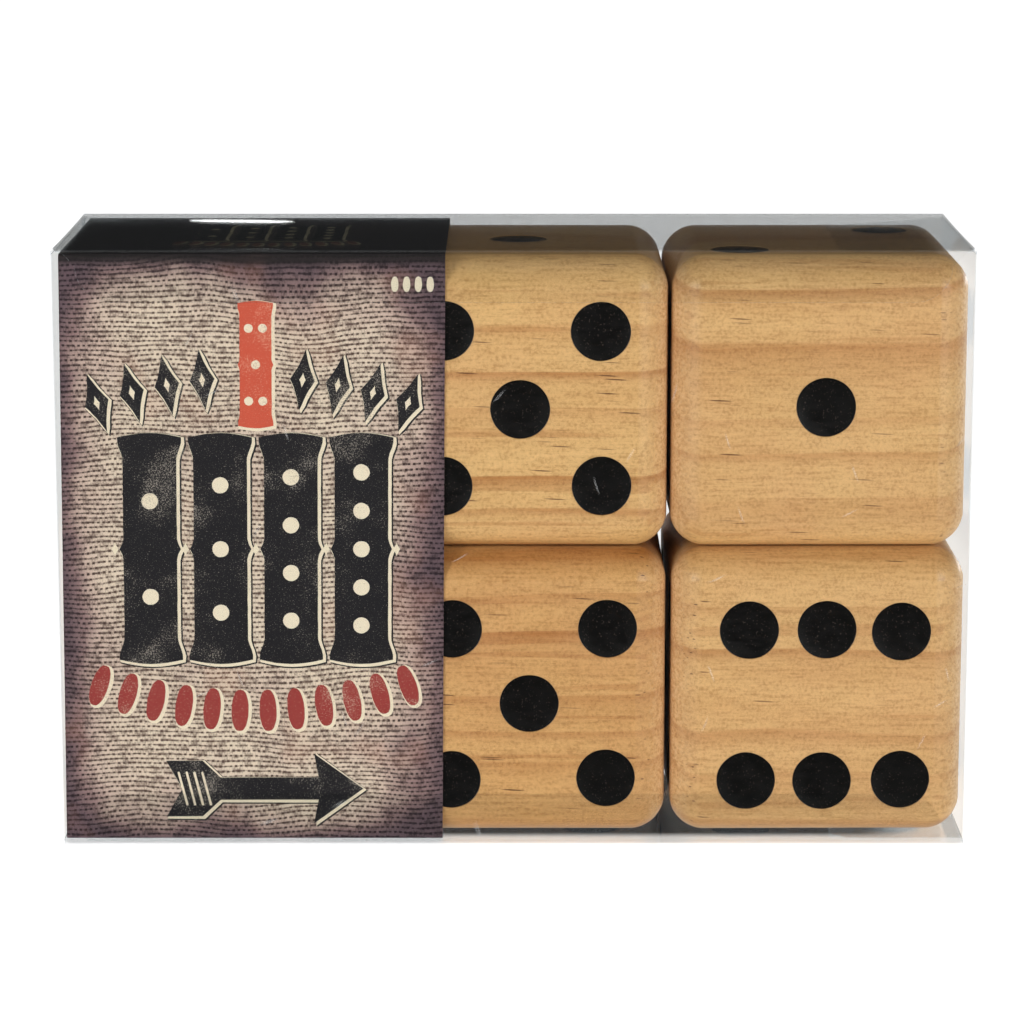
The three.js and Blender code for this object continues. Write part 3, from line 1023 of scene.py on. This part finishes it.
# Each face's outward and right-hand directions, seen from outside the die.
FACES = {
    "front": (Vector((0, -1, 0)), Vector((1, 0, 0))),
    "top": (Vector((0, 0, 1)), Vector((1, 0, 0))),
    "right": (Vector((1, 0, 0)), Vector((0, 1, 0))),
    "back": (Vector((0, 1, 0)), Vector((-1, 0, 0))),
    "bottom": (Vector((0, 0, -1)), Vector((1, 0, 0))),
    "left": (Vector((-1, 0, 0)), Vector((0, -1, 0))),
}

# The numbers at the front, top and right; how far the front pips have drifted across and up, in mm;
# how far the die sits turned in its place, in degrees, and aside, in mm; where the heart of the tree
# lies from the die's middle, in mm; the ring pitch in mm; and how strong and what colour the figure is.
DICE = {
    "die_top_right": {"numbers": (1, 2, 4), "drift": (1.3, -1.0), "turned": 0.35, "aside": -0.1,
                      "heart": (40, -190), "rings": 17.0, "figure": 0.9, "tint": (1.0, 1.0, 1.0)},
    "die_top_middle": {"numbers": (5, 1, 4), "drift": (0.6, -1.3), "turned": 0, "aside": 0.2,
                       "heart": (-30, -230), "rings": 16.0, "figure": 1.15, "tint": (1.02, 1.03, 1.0)},
    "die_bottom_right": {"numbers": (6, 3, 2), "drift": (2.0, -3.4), "turned": 0.35, "aside": -0.2,
                         "heart": (50, -200), "rings": 19.0, "figure": 0.9, "tint": (1.0, 0.99, 0.98)},
    "die_bottom_middle": {"numbers": (5, 4, 6), "drift": (3.2, -2.8), "turned": 0, "aside": 0.1,
                          "heart": (-40, -210), "rings": 15.0, "figure": 1.2, "tint": (0.93, 0.86, 0.76)},
    "die_bottom_left": {"numbers": (3, 1, 5), "drift": (0.5, 0.6), "turned": 0.2, "aside": 0,
                        "heart": (60, 170), "rings": 12.0, "figure": 1.0, "tint": (1.0, 1.0, 1.0)},
}


# Outlines of what is cut out of the wood and of the paint in it, as (radius, height) from the axis.
CUTTER_PROFILE = [
    (0, -PIP_DEPTH),
    (PIP_RADIUS, -PIP_DEPTH),
    (PIP_RADIUS + 0.06 * MM, -0.25 * MM),
    (PIP_RADIUS + 0.22 * MM, 0.02 * MM),
    (PIP_RADIUS + 0.4 * MM, MM),
    (0, MM),
]
PAINT_SKIN = 0.05 * MM
PAINT_RIM = PIP_RADIUS - 0.02 * MM
PAINT_PROFILE = [
    (0, -PIP_DEPTH + 0.01 * MM),
    (PAINT_RIM, -PIP_DEPTH + 0.01 * MM),
    (PAINT_RIM + 0.03 * MM, -0.3 * MM),
    (PAINT_RIM - 0.03 * MM, -0.28 * MM),
    (PAINT_RIM - 0.35 * MM, -PIP_DEPTH + 2 * PAINT_SKIN),
    (0.5 * PIP_RADIUS, -PIP_DEPTH + 1.2 * PAINT_SKIN),
    (0, -PIP_DEPTH + PAINT_SKIN),
]


def rounded_cube(half, radius, steps):
    """A cube with round edges and corners, and one large flat face on each side."""
    bm = bmesh.new()
    rising = [DIE_EDGE_BREAK + (45 - DIE_EDGE_BREAK) * k / steps for k in range(steps + 1)]
    angles = [-angle for angle in reversed(rising)] + rising
    signs = [-1] * (steps + 1) + [1] * (steps + 1)
    inner = half - radius / math.sqrt(1 + 2 * math.tan(math.radians(DIE_EDGE_BREAK)) ** 2)
    for out, right in FACES.values():
        up = out.cross(right)
        grid = []
        for angle_u, sign_u in zip(angles, signs):
            line = []
            for angle_v, sign_v in zip(angles, signs):
                tilt = out + right * math.tan(math.radians(angle_u)) + up * math.tan(math.radians(angle_v))
                core = out * inner + right * (sign_u * inner) + up * (sign_v * inner)
                line.append(bm.verts.new(core + tilt.normalized() * radius))
            grid.append(line)
        for i in range(len(angles) - 1):
            for j in range(len(angles) - 1):
                bm.faces.new((grid[i][j], grid[i + 1][j], grid[i + 1][j + 1], grid[i][j + 1]))
    bmesh.ops.remove_doubles(bm, verts=bm.verts, dist=1e-6)
    return bm


def add_turned(bm, profile, sides, matrix, wobble):
    """A closed solid of revolution about Z, from (radius, height) points that start and end on the axis.
    wobble(angle) scales the radius."""
    rings = []
    for radius, height in profile[1:-1]:
        ring = []
        for k in range(sides):
            angle = 2 * math.pi * k / sides
            spoke = Vector((math.cos(angle), math.sin(angle), 0)) * (radius * wobble(angle))
            ring.append(bm.verts.new(matrix @ (spoke + Vector((0, 0, height)))))
        rings.append(ring)
    first = bm.verts.new(matrix @ Vector((0, 0, profile[0][1])))
    last = bm.verts.new(matrix @ Vector((0, 0, profile[-1][1])))
    for k in range(sides):
        n = (k + 1) % sides
        bm.faces.new((first, rings[0][n], rings[0][k]))
        bm.faces.new((last, rings[-1][k], rings[-1][n]))
    join_rings(bm, rings)


def pip_places(settings, half, rng):
    """A matrix for each pip of a die, with Z out of the face, and a seed for its outline."""
    front, top, right = settings["numbers"]
    numbers = {"front": front, "top": top, "right": right,
               "back": 7 - front, "bottom": 7 - top, "left": 7 - right}
    places = []
    for side, (out, across) in FACES.items():
        up = out.cross(across)
        if side == "front":
            drift = Vector(settings["drift"]) * MM
        else:
            drift = Vector([rng.uniform(-HIDDEN_PIP_DRIFT, HIDDEN_PIP_DRIFT) for _ in range(2)])
        for column, row in LAYOUTS[numbers[side]]:
            shift_x = column * PIP_PITCH + drift.x + rng.uniform(-PIP_JITTER, PIP_JITTER)
            shift_y = row * PIP_PITCH + drift.y + rng.uniform(-PIP_JITTER, PIP_JITTER)
            origin = out * half + across * shift_x + up * shift_y
            turn = Matrix((across, up, out)).transposed().to_4x4()
            places.append((Matrix.Translation(origin) @ turn, rng.uniform(0, 100)))
    return places


def pip_wobble(seed):
    def wobble(angle):
        spot = Vector((math.cos(angle) * 1.4, math.sin(angle) * 1.4, seed))
        return 1 + PIP_UNROUND * noise.noise(spot)
    return wobble


def pip_solids(name, places, profile, materials=(), centre=(0, 0, 0)):
    """A solid of revolution at each pip's place, all in one object."""
    bm = bmesh.new()
    for matrix, seed in places:
        add_turned(bm, profile, PIP_SIDES, matrix, pip_wobble(seed))
    return finished(name, bm, materials, centre)


def carved_cube(name, half, cutter):
    """The mesh of a rounded cube with the cutter's solids taken out of it."""
    cube = rounded_cube(half, DIE_EDGE_RADIUS, DIE_EDGE_STEPS)
    block = finished(name + "_block", cube, smooth_below=60)
    cut = block.modifiers.new("pips", "BOOLEAN")
    cut.operation = "DIFFERENCE"
    cut.solver = "EXACT"
    cut.object = cutter
    even = block.modifiers.new("even", "WEIGHTED_NORMAL")
    even.keep_sharp = True
    even.mode = "FACE_AREA"
    bpy.context.view_layer.update()
    carved = bpy.data.meshes.new_from_object(block.evaluated_get(bpy.context.evaluated_depsgraph_get()))
    bpy.data.objects.remove(block)
    return carved


def add_die(name, settings, wood, paint):
    low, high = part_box(name)
    centre = (low + high) / 2 + Vector((settings["aside"] * MM, 0, 0))
    half = (high.x - low.x) / 2
    places = pip_places(settings, half, random.Random(name))

    cutter = pip_solids(name + "_cutter", places, CUTTER_PROFILE)
    carved = carved_cube(name, half, cutter)
    bpy.data.objects.remove(cutter)
    carved.name = name + "_wood"
    die = object_from(name + "_wood", carved, [wood], centre)
    die.rotation_euler.z = math.radians(settings["turned"])
    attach(die, name)
    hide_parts(name)

    pips = pip_solids(name + "_pips", places, PAINT_PROFILE, [paint], centre)
    pips.rotation_euler = die.rotation_euler
    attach(pips, name)


def add_dice(paint):
    for number, (name, settings) in enumerate(DICE.items()):
        heart = [value * MM for value in settings["heart"]]
        tint = (*settings["tint"], 1)
        seed = 1.3 + 2.7 * number
        wood = pine("pine_" + name, heart, settings["rings"] * MM, settings["figure"], tint, seed)
        add_die(name, settings, wood, paint)


# --- the burlap bag ---

# The empty bag is sewn from one strip of burlap, folded in half at the bottom, so it has two plies.
# It is folded in four across its width and then in five along its length.
BAG_WIDTH = 305 * MM
BAG_LENGTH = 368 * MM
PLY = 1.2 * MM
PLY_GAP = 0.8 * MM  # from the middle of the bag's thickness to the middle of each ply
THREAD_PITCH = 2.1 * MM
WIDTH_FOLDS = {"layers": 4, "radius": 1.62 * MM, "steps": 6, "spacing": 6 * MM, "uneven": 0.7 * MM}
LENGTH_FOLDS = {"layers": 5, "radius": 6.5 * MM, "steps": 10, "spacing": 5 * MM, "uneven": 1.2 * MM}
HEM = 16 * MM  # from the mouth to its row of stitches
STITCH_PITCH = 7.5 * MM
STITCH_SIZE = (4.6 * MM, 0.5 * MM)
BAG_SEED = 7
BAG_SLUMP = (0.07, 0.06)  # share of its height that the pile loses at its ends, along X and along Y
BAG_WANDER = 1.6 * MM  # unevenness of the pile, across and upwards
BAG_LIFT = 0.8 * MM


def folded_line(length, layers, radius, steps, spacing, uneven, seed):
    """A line of cloth folded to and fro: for each sample its distance along the cloth, its place
    (across, height) and its normal, with the pile's middle at the origin."""
    rng = random.Random(seed)
    straight = (length - (layers - 1) * math.pi * radius) / layers
    lengths = [straight + rng.uniform(-uneven, uneven) for _ in range(layers - 1)]
    lengths.append(length - (layers - 1) * math.pi * radius - sum(lengths))
    samples = []
    travelled, across, heading = 0.0, -straight / 2, 1
    for layer, run in enumerate(lengths):
        height = 2 * radius * layer
        pieces = math.ceil(run / spacing)
        for k in range(pieces):
            place = Vector((across + heading * run * k / pieces, height))
            samples.append((travelled + run * k / pieces, place, Vector((0, heading))))
        travelled += run
        across += heading * run
        if layer == layers - 1:
            samples.append((travelled, Vector((across, height)), Vector((0, heading))))
            break
        for k in range(steps):
            angle = math.pi * k / steps
            spoke = Vector((heading * math.sin(angle), -math.cos(angle)))
            centre = Vector((across, height + radius))
            samples.append((travelled + radius * angle, centre + spoke * radius, -spoke * heading))
        travelled += math.pi * radius
        heading = -heading
    middle = Vector((0, radius * (layers - 1)))
    return [(travel, place - middle, normal) for travel, place, normal in samples]


def settle(point, low, high):
    """Lets the pile of cloth slump: lower towards its corners, and a little uneven everywhere."""
    middle = (low + high) / 2
    half = (high - low) / 2
    off_x = (point.x - middle.x) / half.x
    off_y = (point.y - middle.y) / half.y
    height = (point.z - low.z) / (high.z - low.z)
    slump = 1 - BAG_SLUMP[0] * off_x ** 4 - BAG_SLUMP[1] * off_y ** 4
    wander = noise.noise_vector(point * 26) * BAG_WANDER
    lift = BAG_LIFT * noise.noise(point * 40 + Vector((7, 3, 1)))
    settled_z = low.z + height * slump * (high.z - low.z) + lift * height * (1 - height) * 4
    return Vector((point.x + wander.x * height, point.y + wander.y * height, settled_z))


def cloth_point(width_sample, length_sample, offset, middle):
    """Where a spot of the folded bag lies. offset is how far it is above the bag's middle surface."""
    _, (x, height), (lean_x, lean_h) = width_sample
    _, (y, z), (lean_y, lean_z) = length_sample
    x += lean_x * offset
    height += lean_h * offset
    return middle + Vector((x, y + lean_y * height, z + lean_z * height))


def add_ply(bm, threads, rows, columns, offset, place):
    """One ply as a closed sheet, with cloth coordinates in threads."""
    grids = []
    for side in (0.5, -0.5):
        grids.append([[bm.verts.new(place(c, r, offset + side * PLY)) for r in rows] for c in columns])
    last_column, last_row = len(columns) - 1, len(rows) - 1

    def face(corners):
        made = bm.faces.new([grids[side][i][j] for side, i, j in corners])
        for loop, (_, i, j) in zip(made.loops, corners):
            loop[threads].uv = (columns[i][0] / THREAD_PITCH, rows[j][0] / THREAD_PITCH)

    for i in range(last_column):
        for j in range(last_row):
            face([(0, i, j), (0, i + 1, j), (0, i + 1, j + 1), (0, i, j + 1)])
            face([(1, i, j), (1, i, j + 1), (1, i + 1, j + 1), (1, i + 1, j)])
        face([(0, i, 0), (1, i, 0), (1, i + 1, 0), (0, i + 1, 0)])
        face([(0, i, last_row), (0, i + 1, last_row), (1, i + 1, last_row), (1, i, last_row)])
    for j in range(last_row):
        face([(0, 0, j), (0, 0, j + 1), (1, 0, j + 1), (1, 0, j)])
        face([(0, last_column, j), (1, last_column, j), (1, last_column, j + 1), (0, last_column, j + 1)])


def add_stitch(bm, start, end, out):
    """A short thread that dives into the cloth at both ends."""
    steps, sides = 6, 6
    along = (end - start).normalized()
    side = out.cross(along).normalized()
    rings = []
    for i in range(steps + 1):
        t = i / steps
        arch = math.sin(math.pi * t)
        centre = start.lerp(end, t) + out * (STITCH_SIZE[1] * (0.9 * arch - 0.5))
        radius = STITCH_SIZE[1] * (0.55 + 0.45 * arch)
        ring = []
        for k in range(sides):
            angle = 2 * math.pi * k / sides
            ring.append(bm.verts.new(centre + (side * math.cos(angle) + out * math.sin(angle)) * radius))
        rings.append(ring)
    join_rings(bm, rings)
    bm.faces.new(rings[0])
    bm.faces.new(rings[-1])


def hem_stitches(rows, place, material):
    """Two rows of running stitch hold the hem at the mouth, on both outer faces of the bag."""
    bm = bmesh.new()
    mouth_row = min(rows, key=lambda row: abs(row[0] - (BAG_LENGTH - HEM)))
    fine = folded_line(BAG_WIDTH, seed=4, **{**WIDTH_FOLDS, "spacing": 1.2 * MM, "steps": 4})
    for face in (1, -1):
        surface = face * (PLY_GAP + PLY / 2)
        for number in range(int(BAG_WIDTH / STITCH_PITCH)):
            begin = (number + 0.3) * STITCH_PITCH
            ends = [min(fine, key=lambda c: abs(c[0] - spot)) for spot in (begin, begin + STITCH_SIZE[0])]
            start, end = [place(c, mouth_row, surface) for c in ends]
            out = place(ends[0], mouth_row, surface + face * MM) - start
            if (end - start).length > STITCH_SIZE[0] / 2:
                add_stitch(bm, start, end, out.normalized())
    return finished("burlap_bag_stitches", bm, [material], smooth_below=60)


def add_bag(cloth_material, thread_material):
    noise.seed_set(BAG_SEED)  # without it, noise_vector takes its seed from the clock
    low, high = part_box("burlap_bag")
    middle = (low + high) / 2
    columns = folded_line(BAG_WIDTH, seed=4, **WIDTH_FOLDS)
    rows = folded_line(BAG_LENGTH, seed=9, **LENGTH_FOLDS)

    def place(column, row, offset):
        return settle(cloth_point(column, row, offset, middle), low, high)

    bm = bmesh.new()
    threads = bm.loops.layers.uv.new("threads")
    for offset in (PLY_GAP, -PLY_GAP):
        add_ply(bm, threads, rows, columns, offset, place)
    cloth = finished("burlap_bag_cloth", bm, [cloth_material], smooth_below=60)

    stitches = hem_stitches(rows, place, thread_material)
    for piece in (cloth, stitches):
        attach(piece, "burlap_bag")
    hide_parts("burlap_bag")


# --- stage: floor, lights, camera ---

def add_stage():
    s = new_material("studio_floor")
    place = s.place()
    x, y, _ = s.split(place)
    mottled = s.noise(place, 3, 2.0)
    colour = s.shade(mottled, [(0.3, (0.86, 0.86, 0.86, 1)), (0.7, (0.88, 0.88, 0.88, 1))])
    paper = s.principled(Base_Color=colour, Roughness=0.9, Specular_IOR_Level=0.1)
    glow = s.add("Emission", {"Color": (1, 1, 1, 1), "Strength": 1.05}).outputs[0]
    lit = s.add("AddShader", {0: paper, 1: glow}).outputs[0]
    # The glowing floor takes no shadow, so the one right under the pack is painted on it.
    under = s.smooth(s.absolute(y), BOX_BACK - 14 * MM, BOX_BACK - 7 * MM, 1.0, 0.0)
    beside = s.smooth(s.absolute(x), BOX_RIGHT - 30 * MM, BOX_RIGHT - 15 * MM, 1.0, 0.0)
    shadow = s.times(under, beside)
    dark = s.principled(Base_Color=(0.03, 0.025, 0.02, 1), Roughness=0.9, Specular_IOR_Level=0.1)
    material = s.finish(s.mixed(shadow, lit, dark))
    bm = bmesh.new()
    bmesh.ops.create_grid(bm, x_segments=24, y_segments=24, size=8)
    floor = finished("studio_floor", bm, [material], (0, 0, -0.2 * MM))
    floor.visible_glossy = False
    return floor


def softbox(name, place, target, size, power, unlit):
    light = bpy.data.lights.new(name, "AREA")
    light.shape = "RECTANGLE"
    light.size, light.size_y = size
    light.energy = power
    made = bpy.data.objects.new(name, light)
    bpy.context.scene.collection.objects.link(made)
    made.location = place
    made.rotation_euler = (Vector(target) - Vector(place)).to_track_quat("-Z", "Y").to_euler()
    made.visible_camera = False
    made.light_linking.receiver_collection = unlit
    return light


def add_world():
    """White to the camera. To everything else it is a dim studio, darker towards the horizon, and
    below the horizon at the back it is as bright as the floor, for the gloss of the film."""
    world = bpy.data.worlds.new("studio")
    bpy.context.scene.world = world
    s = Nodes(world)
    _, backwards, upwards = s.split(s.add("TexCoord", {}).outputs["Generated"])
    studio_level = s.smooth(upwards, 0.15, 0.9, WORLD_LOW, WORLD_HIGH)
    below = s.smooth(upwards, -0.02, 0.0, FLOOR_MIRRORED, 0.0)
    behind = s.smooth(backwards, 0.1, 0.5)
    level = s.math("MAXIMUM", studio_level, s.times(below, behind))
    studio = s.add("Background", {"Color": (0.93, 0.97, 1, 1), "Strength": level}).outputs[0]
    white = s.add("Background", {"Color": (1, 1, 1, 1), "Strength": 1.1}).outputs[0]
    seen = s.add("LightPath", {}).outputs["Is Camera Ray"]
    s.add("OutputWorld", {"Surface": s.mixed(seen, studio, white)})


def add_lights(floor):
    """Low softboxes at the front, so that the tops stay dark, and weak ones overhead and at the back.
    They leave out the floor, which glows."""
    unlit = bpy.data.collections.new("unlit_floor")
    unlit.objects.link(floor)
    unlit.collection_objects[0].light_linking.link_state = "EXCLUDE"
    middle = (0, 0, BOX_TOP / 2)
    for name, place, size, power in SOFTBOXES:
        softbox(name, place, middle, size, power, unlit)
    glare = softbox("glare_strip", GLARE_PLACE, GLARE_SPOT, GLARE_SIZE, GLARE_POWER, unlit)
    glare.shape = "ELLIPSE"
    add_world()


def add_camera():
    data = bpy.data.cameras.new("camera")
    data.lens = CAMERA_LENS
    data.sensor_width = 36
    camera = bpy.data.objects.new("camera", data)
    bpy.context.scene.collection.objects.link(camera)
    camera.location = CAMERA_PLACE
    camera.rotation_euler = (math.pi / 2 - CAMERA_PITCH, 0, 0)
    bpy.context.scene.camera = camera


def set_view():
    scene = bpy.context.scene
    scene.view_settings.view_transform = "Standard"
    scene.view_settings.look = "None"
    scene.cycles.transparent_max_bounces = 40
    scene.cycles.max_bounces = 10


def build():
    add_camera()
    walls = clear_film("clear_film", 0.10)
    sides = clear_film("clear_film_sides", 0.05, gloss=0.35)
    lid = clear_film("clear_film_lid", 0.004, gloss=0.75, roughness=0.015)
    flaps = clear_film("clear_film_flaps", 0.02, gloss=0.3)
    add_clear_box(walls, sides, lid, flaps, film_edge())
    add_sleeve(printed_card(card_low, card_high), bare_board())
    add_sleeve_print()
    add_dice(pip_paint())
    add_bag(burlap(), cotton_thread())
    add_lights(add_stage())
    set_view()


build()
